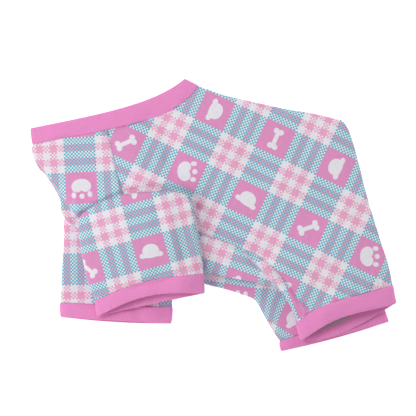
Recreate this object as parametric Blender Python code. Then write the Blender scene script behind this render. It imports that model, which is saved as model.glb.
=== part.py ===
"""Dog jumpsuit lying folded flat on its side, as sewn: printed jersey panels and sleeves, ribbed bands.

Metres, +Z up, resting on z = 0. The neck is at the upper left, the back runs along +Y and
the four cuffs point to -Y. Near means the layer on top, far the layer that lies on the table.
"""
import math
from collections import namedtuple

import bmesh
import bpy
from mathutils import Vector
from mathutils.bvhtree import BVHTree

# Overall plan of the folded garment
LONG = 0.401
WIDE = 0.300

# Cloth and gaps
JERSEY_WALL = 0.0015
BAND_WALL = 0.0024
BAND_PROUD = 0.0007
SEAM_GAP = 0.0004
LAYER_GAP = 0.0006
DRAPE_GAP = 0.0012

# How deep each tube of cloth lies
BODY_DEPTH = 0.026
FAR_LEG_DEPTH = 0.0135
NEAR_SLEEVE_DEPTH = 0.0165
FAR_SLEEVE_DEPTH = 0.012

# Shape of one flattened loop of cloth
EDGE_SHARE = 0.42
UNDER_FLATNESS = 2.4
BODY_SIDES = 48
LEG_SIDES = 32
SLEEVE_SIDES = 32

# Where the body climbs over the far sleeve
CLIMB_REACH = 0.042
CLIMB_SETTLE = 0.40

# How much each spot of the near sleeve sags below its neighbours where nothing holds it up
DRAPE_SAG = 0.00022

# How far the hollow of a tube is cut past its open end, and the blocks past the whole garment
OPEN_END_CUT = 0.006
BLOCK_HEIGHT = 0.12

# Armholes, as shares of LONG and WIDE
ARMHOLE_X = -0.207
ARMHOLE_Y = 0.002
ARMHOLE_HALF_X = 0.108
ARMHOLE_HALF_Y = 0.047
FAR_ARMHOLE_X = -0.243
FAR_ARMHOLE_Y = -0.016
FAR_ARMHOLE_HALF_X = 0.086
FAR_ARMHOLE_HALF_Y = 0.042
ARMHOLE_SIDES = 24

# Each row is one loop round a tube. Its back and front ends are shares of LONG and WIDE, its lift
# and depth are shares of the sizes the tube is built with, its bows are shares of WIDE and
# bow_peak is how far from back to front the loop bows most.
Row = namedtuple("Row", "back_x back_y front_x front_y lift depth bow_top bow_under bow_peak")
Spot = namedtuple("Spot", "x y")
# A fold runs between two spots; depth is a share of BODY_DEPTH and width a share of WIDE.
Fold = namedtuple("Fold", "from_x from_y to_x to_y depth width")

# Torso from the neck seam to the rump, then on down the near hind leg
TORSO_ROWS = (
    Row(-0.040, 0.473, -0.494, 0.258, 0.00, 0.54, 0.057, 0.057, 0.30),
    Row(-0.023, 0.465, -0.497, 0.234, 0.00, 0.60, 0.048, 0.048, 0.30),
    Row(0.026, 0.441, -0.481, 0.178, 0.00, 0.70, 0.026, 0.026, 0.32),
    Row(0.081, 0.423, -0.445, 0.119, 0.00, 0.79, 0.011, 0.011, 0.35),
    Row(0.141, 0.405, -0.418, 0.053, 0.00, 0.85, 0.000, 0.000, 0.50),
    Row(0.207, 0.386, -0.407, -0.009, 0.00, 0.88, 0.000, 0.000, 0.50),
    Row(0.273, 0.372, -0.330, -0.082, 0.00, 0.90, 0.000, 0.000, 0.50),
    Row(0.333, 0.353, -0.199, -0.174, 0.00, 0.92, 0.000, 0.000, 0.50),
    Row(0.358, 0.341, -0.144, -0.203, 0.00, 0.94, 0.000, 0.000, 0.50),
    Row(0.377, 0.299, -0.089, -0.227, 0.00, 0.96, 0.000, 0.000, 0.50),
    Row(0.399, 0.200, -0.026, -0.214, 0.20, 0.88, 0.000, 0.000, 0.50),
    Row(0.415, 0.108, 0.026, -0.225, 0.54, 0.74, 0.000, 0.000, 0.50),
    Row(0.432, 0.024, 0.075, -0.238, 0.85, 0.66, 0.000, 0.000, 0.50),
    Row(0.441, -0.016, 0.122, -0.249, 1.00, 0.66, 0.000, 0.000, 0.50),
    Row(0.451, -0.060, 0.166, -0.264, 1.00, 0.68, 0.000, 0.000, 0.50),
    Row(0.463, -0.112, 0.188, -0.282, 1.00, 0.70, 0.000, 0.000, 0.50),
    Row(0.477, -0.167, 0.207, -0.321, 1.00, 0.73, -0.004, 0.000, 0.62),
    Row(0.485, -0.211, 0.221, -0.361, 1.00, 0.76, -0.015, 0.000, 0.68),
    Row(0.492, -0.258, 0.228, -0.398, 1.00, 0.77, -0.027, 0.004, 0.73),
)

# Far half of the belly and the far hind leg, starting inside the torso
FAR_LEG_ROWS = (
    Row(0.344, 0.236, -0.130, -0.159, 0.16, 0.57, 0.000, 0.000, 0.50),
    Row(0.377, 0.170, -0.067, -0.222, 0.11, 0.71, 0.000, 0.000, 0.50),
    Row(0.401, 0.090, -0.021, -0.255, 0.04, 0.79, 0.000, 0.000, 0.50),
    Row(0.421, 0.009, 0.034, -0.274, 0.00, 0.89, 0.000, 0.000, 0.50),
    Row(0.434, -0.057, 0.084, -0.296, 0.00, 0.96, 0.000, 0.000, 0.50),
    Row(0.442, -0.108, 0.116, -0.314, 0.00, 1.00, 0.000, 0.000, 0.50),
    Row(0.448, -0.156, 0.136, -0.357, 0.00, 1.00, 0.000, 0.000, 0.50),
    Row(0.453, -0.222, 0.155, -0.405, 0.00, 1.00, 0.000, 0.000, 0.50),
    Row(0.462, -0.284, 0.173, -0.443, 0.00, 1.00, 0.000, 0.000, 0.50),
    Row(0.469, -0.337, 0.185, -0.464, 0.00, 1.00, 0.000, 0.000, 0.50),
)

NEAR_HIND_CUFF_ROWS = (
    TORSO_ROWS[-1],
    Row(0.496, -0.291, 0.235, -0.429, 1.00, 0.78, -0.026, 0.018, 0.68),
    Row(0.501, -0.324, 0.241, -0.458, 1.00, 0.80, -0.024, 0.033, 0.62),
)

FAR_HIND_CUFF_ROWS = (
    FAR_LEG_ROWS[-1],
    Row(0.476, -0.366, 0.186, -0.485, 0.00, 1.00, 0.000, 0.004, 0.50),
    Row(0.483, -0.394, 0.190, -0.502, 0.00, 1.00, 0.000, 0.007, 0.50),
)

NEAR_SLEEVE_ROWS = (
    Row(-0.116, 0.088, -0.226, 0.079, 0.00, 0.50, 0.000, 0.000, 0.50),
    Row(-0.073, 0.070, -0.297, 0.048, 0.00, 0.75, 0.000, 0.000, 0.50),
    Row(-0.055, 0.042, -0.341, 0.016, 0.00, 0.90, 0.000, 0.000, 0.50),
    Row(-0.048, 0.005, -0.363, -0.016, 0.00, 1.00, 0.000, 0.000, 0.50),
    Row(-0.040, -0.057, -0.363, -0.079, 0.30, 1.00, -0.004, 0.000, 0.50),
    Row(-0.032, -0.130, -0.355, -0.159, 0.60, 1.00, -0.011, 0.000, 0.50),
    Row(-0.026, -0.185, -0.338, -0.255, 1.00, 0.97, -0.018, -0.004, 0.50),
    Row(-0.025, -0.216, -0.321, -0.313, 1.00, 0.95, -0.023, -0.004, 0.50),
)

NEAR_FRONT_CUFF_ROWS = (
    NEAR_SLEEVE_ROWS[-1],
    Row(-0.024, -0.252, -0.318, -0.342, 1.00, 0.97, -0.029, -0.003, 0.50),
    Row(-0.023, -0.288, -0.314, -0.372, 1.00, 1.00, -0.034, -0.002, 0.50),
)

FAR_SLEEVE_ROWS = (
    Row(-0.199, 0.038, -0.297, 0.031, 0.00, 0.60, 0.000, 0.000, 0.50),
    Row(-0.144, 0.020, -0.374, 0.013, 0.00, 0.86, 0.000, 0.000, 0.50),
    Row(-0.125, -0.009, -0.408, -0.018, 0.00, 0.97, 0.000, 0.000, 0.50),
    Row(-0.116, -0.057, -0.408, -0.064, 0.00, 1.00, 0.000, 0.000, 0.50),
    Row(-0.114, -0.137, -0.411, -0.137, 0.00, 1.00, 0.000, 0.000, 0.50),
    Row(-0.111, -0.233, -0.415, -0.229, 0.00, 1.00, 0.000, 0.000, 0.50),
    Row(-0.111, -0.340, -0.418, -0.324, 0.00, 1.00, 0.000, 0.000, 0.50),
)

FAR_FRONT_CUFF_ROWS = (
    FAR_SLEEVE_ROWS[-1],
    Row(-0.112, -0.372, -0.418, -0.352, 0.00, 1.00, 0.000, 0.004, 0.50),
    Row(-0.115, -0.401, -0.416, -0.377, 0.00, 1.00, 0.000, 0.007, 0.50),
)

NECK_BAND_ROWS = (
    TORSO_ROWS[0],
    Row(-0.058, 0.485, -0.497, 0.288, 0.00, 0.54, 0.044, 0.044, 0.32),
    Row(-0.077, 0.498, -0.499, 0.317, 0.00, 0.52, 0.033, 0.033, 0.35),
)

# Seam between the back panel and the chest and belly panel, from beyond the neck to beyond the leg
SEAM_SPOTS = (
    Spot(-0.297, 0.419), Spot(-0.286, 0.306), Spot(-0.276, 0.240), Spot(-0.262, 0.156),
    Spot(-0.245, 0.082), Spot(-0.226, 0.024), Spot(-0.171, -0.005), Spot(-0.100, -0.024),
    Spot(-0.034, -0.070), Spot(0.014, -0.090), Spot(0.075, -0.121), Spot(0.125, -0.150),
    Spot(0.158, -0.183), Spot(0.200, -0.248), Spot(0.233, -0.309), Spot(0.268, -0.356),
    Spot(0.289, -0.478), Spot(0.300, -0.588),
)

# Creases and rolls that the torso and near leg show on top
BODY_FOLDS = (
    Fold(-0.144, 0.375, -0.114, 0.189, -0.10, 0.032),
    Fold(-0.166, 0.280, -0.116, 0.236, -0.07, 0.050),
    Fold(-0.037, -0.060, 0.070, -0.108, -0.06, 0.030),
    Fold(0.070, -0.112, 0.147, -0.163, -0.09, 0.030),
    Fold(-0.001, -0.123, 0.119, -0.200, 0.06, 0.030),
    Fold(0.119, -0.174, 0.119, -0.181, -0.10, 0.028),
    Fold(0.163, -0.251, 0.212, -0.335, 0.07, 0.030),
    Fold(0.289, -0.225, 0.311, -0.310, -0.06, 0.026),
    Fold(0.349, -0.211, 0.360, -0.295, -0.05, 0.026),
    Fold(0.240, -0.174, 0.300, -0.251, 0.05, 0.030),
    Fold(0.053, 0.353, 0.136, 0.134, -0.05, 0.040),
    Fold(-0.363, 0.207, -0.308, 0.097, -0.05, 0.040),
    Fold(0.240, 0.236, 0.322, 0.035, -0.05, 0.045),
    Fold(0.136, 0.090, 0.240, -0.057, 0.04, 0.040),
)

# Soft lengthwise folds on the near sleeve
SLEEVE_FOLDS = (
    Fold(-0.085, 0.030, -0.070, -0.200, -0.05, 0.028),
    Fold(-0.150, 0.020, -0.130, -0.220, 0.04, 0.030),
    Fold(-0.330, -0.020, -0.290, -0.200, -0.04, 0.030),
)


def clear_scene():
    for old in list(bpy.data.objects):
        bpy.data.objects.remove(old, do_unlink=True)


def plan_spot(x_share, y_share):
    return Vector((x_share * LONG, y_share * WIDE))


def fold_height(folds, x, y):
    """Sum of the creases (below) and rolls (above) at one plan spot."""
    total = 0.0
    here = Vector((x, y))
    for fold in folds:
        start = plan_spot(fold.from_x, fold.from_y)
        run = plan_spot(fold.to_x, fold.to_y) - start
        share = min(1.0, max(0.0, (here - start).dot(run) / run.length_squared))
        distance = (here - start - run * share).length
        total += fold.depth * BODY_DEPTH * math.exp(-(distance / (fold.width * WIDE)) ** 2)
    return total


def plan_ends(row):
    back = plan_spot(row.back_x, row.back_y)
    front = plan_spot(row.front_x, row.front_y)
    return back, front, (front - back).normalized()


def loop_of_cloth(row, sides, bases, depth, inset, folds=()):
    """One flattened closed loop: over the top from the back fold to the front fold, back underneath.

    bases gives the height it rests at for each share from back to front. A positive inset
    shrinks the loop by a wall, a negative one makes it stand proud.
    """
    back, front, along = plan_ends(row)
    across = Vector((-along.y, along.x))
    length = (front - back).length
    points = []
    for step in range(sides):
        turn = 2 * math.pi * step / sides
        share = 0.5 - 0.5 * math.cos(turn)
        tall = math.sin(turn)
        base = bases[min(step, sides - step)]
        low = base + inset
        high = base + depth - inset
        middle = low + (high - low) * EDGE_SHARE
        if step <= sides // 2:
            height = middle + (high - middle) * max(tall, 0.0)
        else:
            height = middle + (middle - low) * max(tall * UNDER_FLATNESS, -1.0)
        weight = (height - low) / (high - low)
        bow = (row.bow_under + (row.bow_top - row.bow_under) * weight) * WIDE
        reach = inset + (length - 2 * inset) * share
        place = min(1.0, max(0.0, reach / length))
        skewed = place * (1 - row.bow_peak) / (row.bow_peak + (1 - 2 * row.bow_peak) * place)
        spot = back + along * reach + across * (bow * 4 * skewed * (1 - skewed))
        if folds and step <= sides // 2:
            height += fold_height(folds, spot.x, spot.y) * min(1.0, max(tall, 0.0) * 2)
        points.append(Vector((spot.x, spot.y, height)))
    return points


def moved_along(loop, other, distance):
    """Loop moved bodily towards (or with a negative distance away from) its neighbour."""
    count = len(loop)
    run = sum((b - a for a, b in zip(loop, other)), Vector()) / count
    run.z = 0.0
    return [point + run.normalized() * distance for point in loop]


def stitch_loops(mesh, loops, flip):
    rings = [[mesh.verts.new(point) for point in loop] for loop in loops]
    count = len(rings[0])
    for ring, following in zip(rings, rings[1:]):
        for step in range(count):
            after = (step + 1) % count
            corners = [ring[step], ring[after], following[after], following[step]]
            mesh.faces.new(corners[::-1] if flip else corners)
    return rings


def close_end(mesh, ring, flip):
    """End wall made of quads between the upper and the lower half of the loop."""
    count = len(ring)
    for step in range(count // 2):
        corners = [ring[step], ring[step + 1], ring[(count - step - 1) % count], ring[(count - step) % count]]
        corners = list(dict.fromkeys(corners))
        mesh.faces.new(corners[::-1] if flip else corners)


def finish_mesh(mesh, name):
    bmesh.ops.recalc_face_normals(mesh, faces=mesh.faces)
    data = bpy.data.meshes.new(name)
    mesh.to_mesh(data)
    mesh.free()
    return data


def solid_mesh(name, loops):
    """Closed solid through all the loops."""
    mesh = bmesh.new()
    rings = stitch_loops(mesh, loops, False)
    close_end(mesh, rings[0], True)
    close_end(mesh, rings[-1], False)
    return finish_mesh(mesh, name)


def tube_mesh(name, outer, inner, closed_start):
    """Cloth wall between an outer and an inner set of loops, open at its mouth."""
    mesh = bmesh.new()
    outer_rings = stitch_loops(mesh, outer, False)
    inner_rings = stitch_loops(mesh, inner, True)
    count = len(outer[0])
    ends = [(-1, outer_rings[-1], inner_rings[-1])]
    if closed_start:
        close_end(mesh, outer_rings[0], True)
        close_end(mesh, inner_rings[0], False)
    else:
        ends.append((0, outer_rings[0], inner_rings[0]))
    for _, outside, inside in ends:
        for step in range(count):
            after = (step + 1) % count
            mesh.faces.new([outside[step], outside[after], inside[after], inside[step]])
    return finish_mesh(mesh, name)


def tree_of(data):
    corners = [vertex.co.copy() for vertex in data.vertices]
    return BVHTree.FromPolygons(corners, [list(face.vertices) for face in data.polygons])


def top_below(trees, x, y):
    """Height of the highest layer at a plan spot, or None over the bare table."""
    best = None
    for tree in trees:
        hit = tree.ray_cast(Vector((x, y, 1.0)), Vector((0, 0, -1)))[0]
        if hit is not None and (best is None or hit.z > best):
            best = hit.z
    return best


def flat_outline_tree(rows):
    """Flat patch with the plan outline of a tube, for measuring how far away it is."""
    backs = [plan_spot(row.back_x, row.back_y) for row in rows]
    fronts = [plan_spot(row.front_x, row.front_y) for row in rows]
    corners = [spot.to_3d() for spot in backs + fronts]
    count = len(rows)
    faces = [[i, i + 1, count + i + 1, count + i] for i in range(count - 1)]
    return BVHTree.FromPolygons(corners, faces)


def climb_height(patch, top, x, y):
    """Rest height of cloth that climbs softly over a lower piece with the given top."""
    distance = patch.find_nearest(Vector((x, y, 0.0)))[3]
    share = max(0.0, 1.0 - distance / CLIMB_REACH)
    return top * share * share * (3 - 2 * share)


def share_spots(row, sides):
    back, front, _ = plan_ends(row)
    shares = [0.5 - 0.5 * math.cos(2 * math.pi * step / sides) for step in range(sides // 2 + 1)]
    return [back + (front - back) * share for share in shares]


def body_bases(rows, sides, lift_unit, patch, top):
    bases = []
    for row in rows:
        heights = []
        for spot in share_spots(row, sides):
            climb = climb_height(patch, top, spot.x, spot.y)
            heights.append(max(climb, row.lift * lift_unit))
        bases.append(heights)
    return bases


def draped_bases(rows, sides, trees, gap, lift_unit):
    """Rest heights of a tube that bridges over lower pieces, like cloth pulled gently taut."""
    needs = []
    for row in rows:
        heights = []
        for spot in share_spots(row, sides):
            need = 0.0
            for reach in (0.0, 0.004, 0.008, 0.012):
                for turn in range(8):
                    angle = turn * math.pi / 4
                    x = spot.x + reach * math.cos(angle)
                    y = spot.y + reach * math.sin(angle)
                    top = top_below(trees, x, y)
                    if top is not None:
                        need = max(need, top + gap - 0.12 * reach)
            heights.append(need + row.lift * lift_unit)
        needs.append(heights)
    bases = [list(heights) for heights in needs]
    count = sides // 2
    for _ in range(200):
        for i in range(len(rows)):
            for j in range(count + 1):
                around = []
                if i > 0:
                    around.append(bases[i - 1][j])
                if i < len(rows) - 1:
                    around.append(bases[i + 1][j])
                if j > 0:
                    around.append(bases[i][j - 1])
                if j < count:
                    around.append(bases[i][j + 1])
                bases[i][j] = max(needs[i][j], sum(around) / len(around) - DRAPE_SAG)
    return bases


def loops_for(rows, sides, bases, depth, inset, settle=0.0, folds=()):
    loops = []
    for row, heights in zip(rows, bases):
        own = row.depth * depth - settle * (sum(heights) / len(heights) - row.lift * FAR_LEG_DEPTH)
        loops.append(loop_of_cloth(row, sides, heights, own, inset, folds))
    return loops


def make_object(name, data, collection, colour, roughness):
    thing = bpy.data.objects.new(name, data)
    collection.objects.link(thing)
    for face in data.polygons:
        face.use_smooth = True
    if colour is not None:
        material = bpy.data.materials.new(name)
        material.use_nodes = True
        shader = material.node_tree.nodes["Principled BSDF"]
        shader.inputs["Base Color"].default_value = (*colour, 1.0)
        shader.inputs["Roughness"].default_value = roughness
        data.materials.append(material)
    return thing


def make_cutter(name, data, collection):
    cutter = make_object(name, data, collection, None, 0.0)
    cutter.hide_render = True
    cutter.display_type = 'WIRE'
    return cutter


def add_boolean(thing, operation, other):
    modifier = thing.modifiers.new(other.name, 'BOOLEAN')
    modifier.operation = operation
    modifier.solver = 'EXACT'
    modifier.object = other


def prism_mesh(name, outline, low, high):
    """Straight block over a plan outline."""
    mesh = bmesh.new()
    face = mesh.faces.new([mesh.verts.new((spot.x, spot.y, low)) for spot in outline])
    raised = bmesh.ops.extrude_face_region(mesh, geom=[face])["geom"]
    corners = [item for item in raised if isinstance(item, bmesh.types.BMVert)]
    bmesh.ops.translate(mesh, verts=corners, vec=(0, 0, high - low))
    return finish_mesh(mesh, name)


def oval_outline(x_share, y_share, half_x, half_y):
    spots = []
    for step in range(ARMHOLE_SIDES):
        angle = 2 * math.pi * (step + 0.5) / ARMHOLE_SIDES
        spots.append(plan_spot(x_share + half_x * math.cos(angle), y_share + half_y * math.sin(angle)))
    return spots


def seam_region(side):
    """Plan outline of everything on one side of the panel seam, with half the seam gap added."""
    spots = [plan_spot(spot.x, spot.y) for spot in SEAM_SPOTS]
    edge = []
    for i, spot in enumerate(spots):
        run = spots[min(i + 1, len(spots) - 1)] - spots[max(i - 1, 0)]
        normal = Vector((-run.y, run.x)).normalized()
        edge.append(spot - normal * (side * SEAM_GAP / 2))
    far = LONG
    if side > 0:
        return edge + [Vector((far, -far)), Vector((far, far)), Vector((edge[0].x, far))]
    return edge + [Vector((edge[-1].x, -far)), Vector((-far, -far)), Vector((-far, far)), Vector((edge[0].x, far))]


def build_band(name, rows, sides, bases, depth, start_gap, collection, colour, settle=0.0):
    """Ribbed band: a folded double wall that stands a little proud of the cloth it is sewn to."""
    outer = loops_for(rows, sides, bases, depth, -BAND_PROUD, settle)
    inner = loops_for(rows, sides, bases, depth, BAND_WALL - BAND_PROUD, settle)
    outer[0] = moved_along(outer[0], outer[1], start_gap)
    inner[0] = moved_along(inner[0], inner[1], start_gap)
    data = tube_mesh(name, outer, inner, False)
    return make_object(name, data, collection, colour, 0.8)


clear_scene()
parts = bpy.data.collections.new("dog_jumpsuit")
bpy.context.scene.collection.children.link(parts)
cutters = bpy.data.collections.new("cutters")
bpy.context.scene.collection.children.link(cutters)

PRINT_COLOUR = (0.56, 0.50, 0.62)
BAND_COLOUR = (0.68, 0.24, 0.50)

# Far sleeve, flat on the table, shut by its own fold at the shoulder and open at the cuff
floor_bases = [[0.0] * (SLEEVE_SIDES // 2 + 1) for _ in FAR_SLEEVE_ROWS]
far_outer = loops_for(FAR_SLEEVE_ROWS, SLEEVE_SIDES, floor_bases, FAR_SLEEVE_DEPTH, 0.0)
far_inner = loops_for(FAR_SLEEVE_ROWS, SLEEVE_SIDES, floor_bases, FAR_SLEEVE_DEPTH, JERSEY_WALL)
far_inner[0] = moved_along(far_inner[0], far_inner[1], JERSEY_WALL)
far_sleeve_data = tube_mesh("sleeve_far", far_outer, far_inner, True)
far_sleeve_solid = solid_mesh("far_sleeve_outside", far_outer)
sleeve_far = make_object("sleeve_far", far_sleeve_data, parts, PRINT_COLOUR, 0.9)

band_floor = [[BAND_PROUD] * (SLEEVE_SIDES // 2 + 1) for _ in FAR_FRONT_CUFF_ROWS]
far_front_cuff = build_band("front_cuff_far", FAR_FRONT_CUFF_ROWS, SLEEVE_SIDES, band_floor,
                            FAR_SLEEVE_DEPTH, SEAM_GAP, parts, BAND_COLOUR)

# Torso with both hind legs: outer and inner volumes, joined and hollowed
far_patch = flat_outline_tree(FAR_SLEEVE_ROWS)
far_top = FAR_SLEEVE_DEPTH + LAYER_GAP
leg_lift = FAR_LEG_DEPTH + BAND_PROUD * 3 + LAYER_GAP
torso_bases = body_bases(TORSO_ROWS, BODY_SIDES, leg_lift, far_patch, far_top)
far_leg_bases = body_bases(FAR_LEG_ROWS, LEG_SIDES, leg_lift, far_patch, far_top)
torso_outer = loops_for(TORSO_ROWS, BODY_SIDES, torso_bases, BODY_DEPTH, 0.0, CLIMB_SETTLE, BODY_FOLDS)
torso_inner = loops_for(TORSO_ROWS, BODY_SIDES, torso_bases, BODY_DEPTH, JERSEY_WALL, CLIMB_SETTLE, BODY_FOLDS)
torso_inner.insert(0, moved_along(torso_inner[0], torso_inner[1], -OPEN_END_CUT))
torso_inner.append(moved_along(torso_inner[-1], torso_inner[-2], -OPEN_END_CUT))
leg_outer = loops_for(FAR_LEG_ROWS, LEG_SIDES, far_leg_bases, FAR_LEG_DEPTH, 0.0)
leg_inner = loops_for(FAR_LEG_ROWS, LEG_SIDES, far_leg_bases, FAR_LEG_DEPTH, JERSEY_WALL)
leg_inner.append(moved_along(leg_inner[-1], leg_inner[-2], -OPEN_END_CUT))

far_leg_outside = make_cutter("far_leg_outside", solid_mesh("far_leg_outside", leg_outer), cutters)
torso_inside = make_cutter("torso_inside", solid_mesh("torso_inside", torso_inner), cutters)
far_leg_inside = make_cutter("far_leg_inside", solid_mesh("far_leg_inside", leg_inner), cutters)
torso_tree = tree_of(solid_mesh("torso_outside", torso_outer))
leg_tree = tree_of(far_leg_outside.data)

# Near sleeve, draped over the body and the far sleeve
under_trees = [torso_tree, leg_tree, tree_of(far_sleeve_solid), tree_of(far_front_cuff.data)]
sleeve_rows = NEAR_SLEEVE_ROWS + NEAR_FRONT_CUFF_ROWS[1:]
sleeve_bases = draped_bases(sleeve_rows, SLEEVE_SIDES, under_trees, DRAPE_GAP, BAND_PROUD)
sleeve_count = len(NEAR_SLEEVE_ROWS)
own_bases = sleeve_bases[:sleeve_count]
near_outer = loops_for(NEAR_SLEEVE_ROWS, SLEEVE_SIDES, own_bases, NEAR_SLEEVE_DEPTH, 0.0, 0.0, SLEEVE_FOLDS)
near_inner = loops_for(NEAR_SLEEVE_ROWS, SLEEVE_SIDES, own_bases, NEAR_SLEEVE_DEPTH, JERSEY_WALL, 0.0,
                       SLEEVE_FOLDS)
near_inner[0] = moved_along(near_inner[0], near_inner[1], JERSEY_WALL)
near_sleeve_data = tube_mesh("sleeve_near", near_outer, near_inner, True)
sleeve_near = make_object("sleeve_near", near_sleeve_data, parts, PRINT_COLOUR, 0.9)
near_front_cuff = build_band("front_cuff_near", NEAR_FRONT_CUFF_ROWS, SLEEVE_SIDES,
                             sleeve_bases[sleeve_count - 1:], NEAR_SLEEVE_DEPTH, SEAM_GAP, parts, BAND_COLOUR)

# Armholes: one oval through each pair of facing walls
arm_spot = plan_spot(ARMHOLE_X, ARMHOLE_Y)
far_spot = plan_spot(FAR_ARMHOLE_X, FAR_ARMHOLE_Y)
body_top = top_below([torso_tree], arm_spot.x, arm_spot.y)
body_middle = (body_top + far_top) / 2
near_middle = body_top + DRAPE_GAP + NEAR_SLEEVE_DEPTH / 2
near_oval = oval_outline(ARMHOLE_X, ARMHOLE_Y, ARMHOLE_HALF_X, ARMHOLE_HALF_Y)
far_oval = oval_outline(FAR_ARMHOLE_X, FAR_ARMHOLE_Y, FAR_ARMHOLE_HALF_X, FAR_ARMHOLE_HALF_Y)
armhole_near = make_cutter("armhole_near", prism_mesh("armhole_near", near_oval, body_middle, near_middle), cutters)
armhole_far = make_cutter("armhole_far", prism_mesh("armhole_far", far_oval, FAR_SLEEVE_DEPTH / 2, body_middle),
                          cutters)
add_boolean(sleeve_near, 'DIFFERENCE', armhole_near)
add_boolean(sleeve_far, 'DIFFERENCE', armhole_far)

# The two body panels, parted along the seam
for name, side, colour in (("back_panel", -1, PRINT_COLOUR), ("belly_panel", 1, PRINT_COLOUR)):
    block = prism_mesh("beyond_" + name, seam_region(side), -BLOCK_HEIGHT, BLOCK_HEIGHT)
    region = make_cutter("beyond_" + name, block, cutters)
    panel = make_object(name, solid_mesh(name, torso_outer), parts, colour, 0.9)
    add_boolean(panel, 'UNION', far_leg_outside)
    add_boolean(panel, 'DIFFERENCE', torso_inside)
    add_boolean(panel, 'DIFFERENCE', far_leg_inside)
    add_boolean(panel, 'DIFFERENCE', armhole_near)
    add_boolean(panel, 'DIFFERENCE', armhole_far)
    add_boolean(panel, 'DIFFERENCE', region)

# Bands of the neck and the hind legs
neck_bases = [[BAND_PROUD] * (BODY_SIDES // 2 + 1) for _ in NECK_BAND_ROWS]
build_band("neck_band", NECK_BAND_ROWS, BODY_SIDES, neck_bases, BODY_DEPTH, SEAM_GAP, parts, BAND_COLOUR)
near_hind_bases = [[leg_lift] * (BODY_SIDES // 2 + 1) for _ in NEAR_HIND_CUFF_ROWS]
build_band("hind_cuff_near", NEAR_HIND_CUFF_ROWS, BODY_SIDES, near_hind_bases, BODY_DEPTH, SEAM_GAP, parts,
           BAND_COLOUR)
far_hind_bases = [[BAND_PROUD] * (LEG_SIDES // 2 + 1) for _ in FAR_HIND_CUFF_ROWS]
build_band("hind_cuff_far", FAR_HIND_CUFF_ROWS, LEG_SIDES, far_hind_bases, FAR_LEG_DEPTH, SEAM_GAP, parts,
           BAND_COLOUR)
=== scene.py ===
import math
from collections import namedtuple

import bmesh
import bpy
import numpy as np
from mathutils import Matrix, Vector, noise
from mathutils.bvhtree import BVHTree


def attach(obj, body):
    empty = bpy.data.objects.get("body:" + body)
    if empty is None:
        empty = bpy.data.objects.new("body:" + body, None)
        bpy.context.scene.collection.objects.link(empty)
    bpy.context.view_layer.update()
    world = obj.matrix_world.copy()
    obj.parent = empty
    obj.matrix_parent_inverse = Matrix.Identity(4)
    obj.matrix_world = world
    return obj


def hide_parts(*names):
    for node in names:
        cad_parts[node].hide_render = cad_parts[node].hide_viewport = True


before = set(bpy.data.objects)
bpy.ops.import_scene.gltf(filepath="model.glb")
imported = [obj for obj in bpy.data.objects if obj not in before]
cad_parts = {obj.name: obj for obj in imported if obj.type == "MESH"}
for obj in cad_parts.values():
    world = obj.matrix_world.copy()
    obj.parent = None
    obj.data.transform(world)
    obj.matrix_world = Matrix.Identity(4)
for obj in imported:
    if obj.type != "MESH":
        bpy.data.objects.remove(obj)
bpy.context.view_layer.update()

# Far sleeve: the lower front leg of the garment, a tube of printed cotton jersey sewn shut along
# its length. It lies flat on the floor under everything else, and only its left edge shows.
LONG = 0.401
WIDE = 0.300
EDGE_SHARE = 0.42
UNDER_FLATNESS = 2.4
JERSEY_WALL = 0.0015
FAR_SLEEVE_DEPTH = 0.012

# One loop round a tube: its back and front ends in shares of LONG and WIDE, its lift and depth in
# shares of the tube's own, and how far its upper and under layer bow, with the place of the most
Row = namedtuple("Row", "back_x back_y front_x front_y lift depth bow_top bow_under bow_peak")
Tube = namedtuple("Tube", "rows depth rest settle means")
Fold = namedtuple("Fold", "path height width")

FAR_SLEEVE_ROWS = (
    Row(-0.199, 0.038, -0.297, 0.031, 0.00, 0.60, 0.000, 0.000, 0.50),
    Row(-0.144, 0.020, -0.374, 0.013, 0.00, 0.86, 0.000, 0.000, 0.50),
    Row(-0.125, -0.009, -0.408, -0.018, 0.00, 0.97, 0.000, 0.000, 0.50),
    Row(-0.116, -0.057, -0.408, -0.064, 0.00, 1.00, 0.000, 0.000, 0.50),
    Row(-0.114, -0.137, -0.411, -0.137, 0.00, 1.00, 0.000, 0.000, 0.50),
    Row(-0.111, -0.233, -0.415, -0.229, 0.00, 1.00, 0.000, 0.000, 0.50),
    Row(-0.111, -0.340, -0.418, -0.324, 0.00, 1.00, 0.000, 0.000, 0.50),
)


def through(values, at):
    """Smooth curve through equally spaced rows of values, read at fractional places."""
    near = np.clip(np.floor(at).astype(int), 0, len(values) - 2)
    part = (at - near)[:, None]
    longer = np.concatenate([2 * values[:1] - values[1:2], values, 2 * values[-1:] - values[-2:-1]])
    a, b, c, d = (longer[near + step] for step in range(4))
    return b + 0.5 * part * (c - a + part * (2 * a - 5 * b + 4 * c - d + part * (3 * (b - c) + d - a)))


def row_number(rows, places):
    """Fractional row for each place from 0 to 1, evenly spaced along the tube's middle."""
    table = np.array(rows)
    middle = (table[:, 0:2] + table[:, 2:4]) / 2 * (LONG, WIDE)
    steps = np.hypot(*np.diff(middle, axis=0).T)
    marks = np.concatenate([[0.0], np.cumsum(steps)]) / steps.sum()
    return np.interp(places, marks, np.arange(len(rows)))


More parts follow.
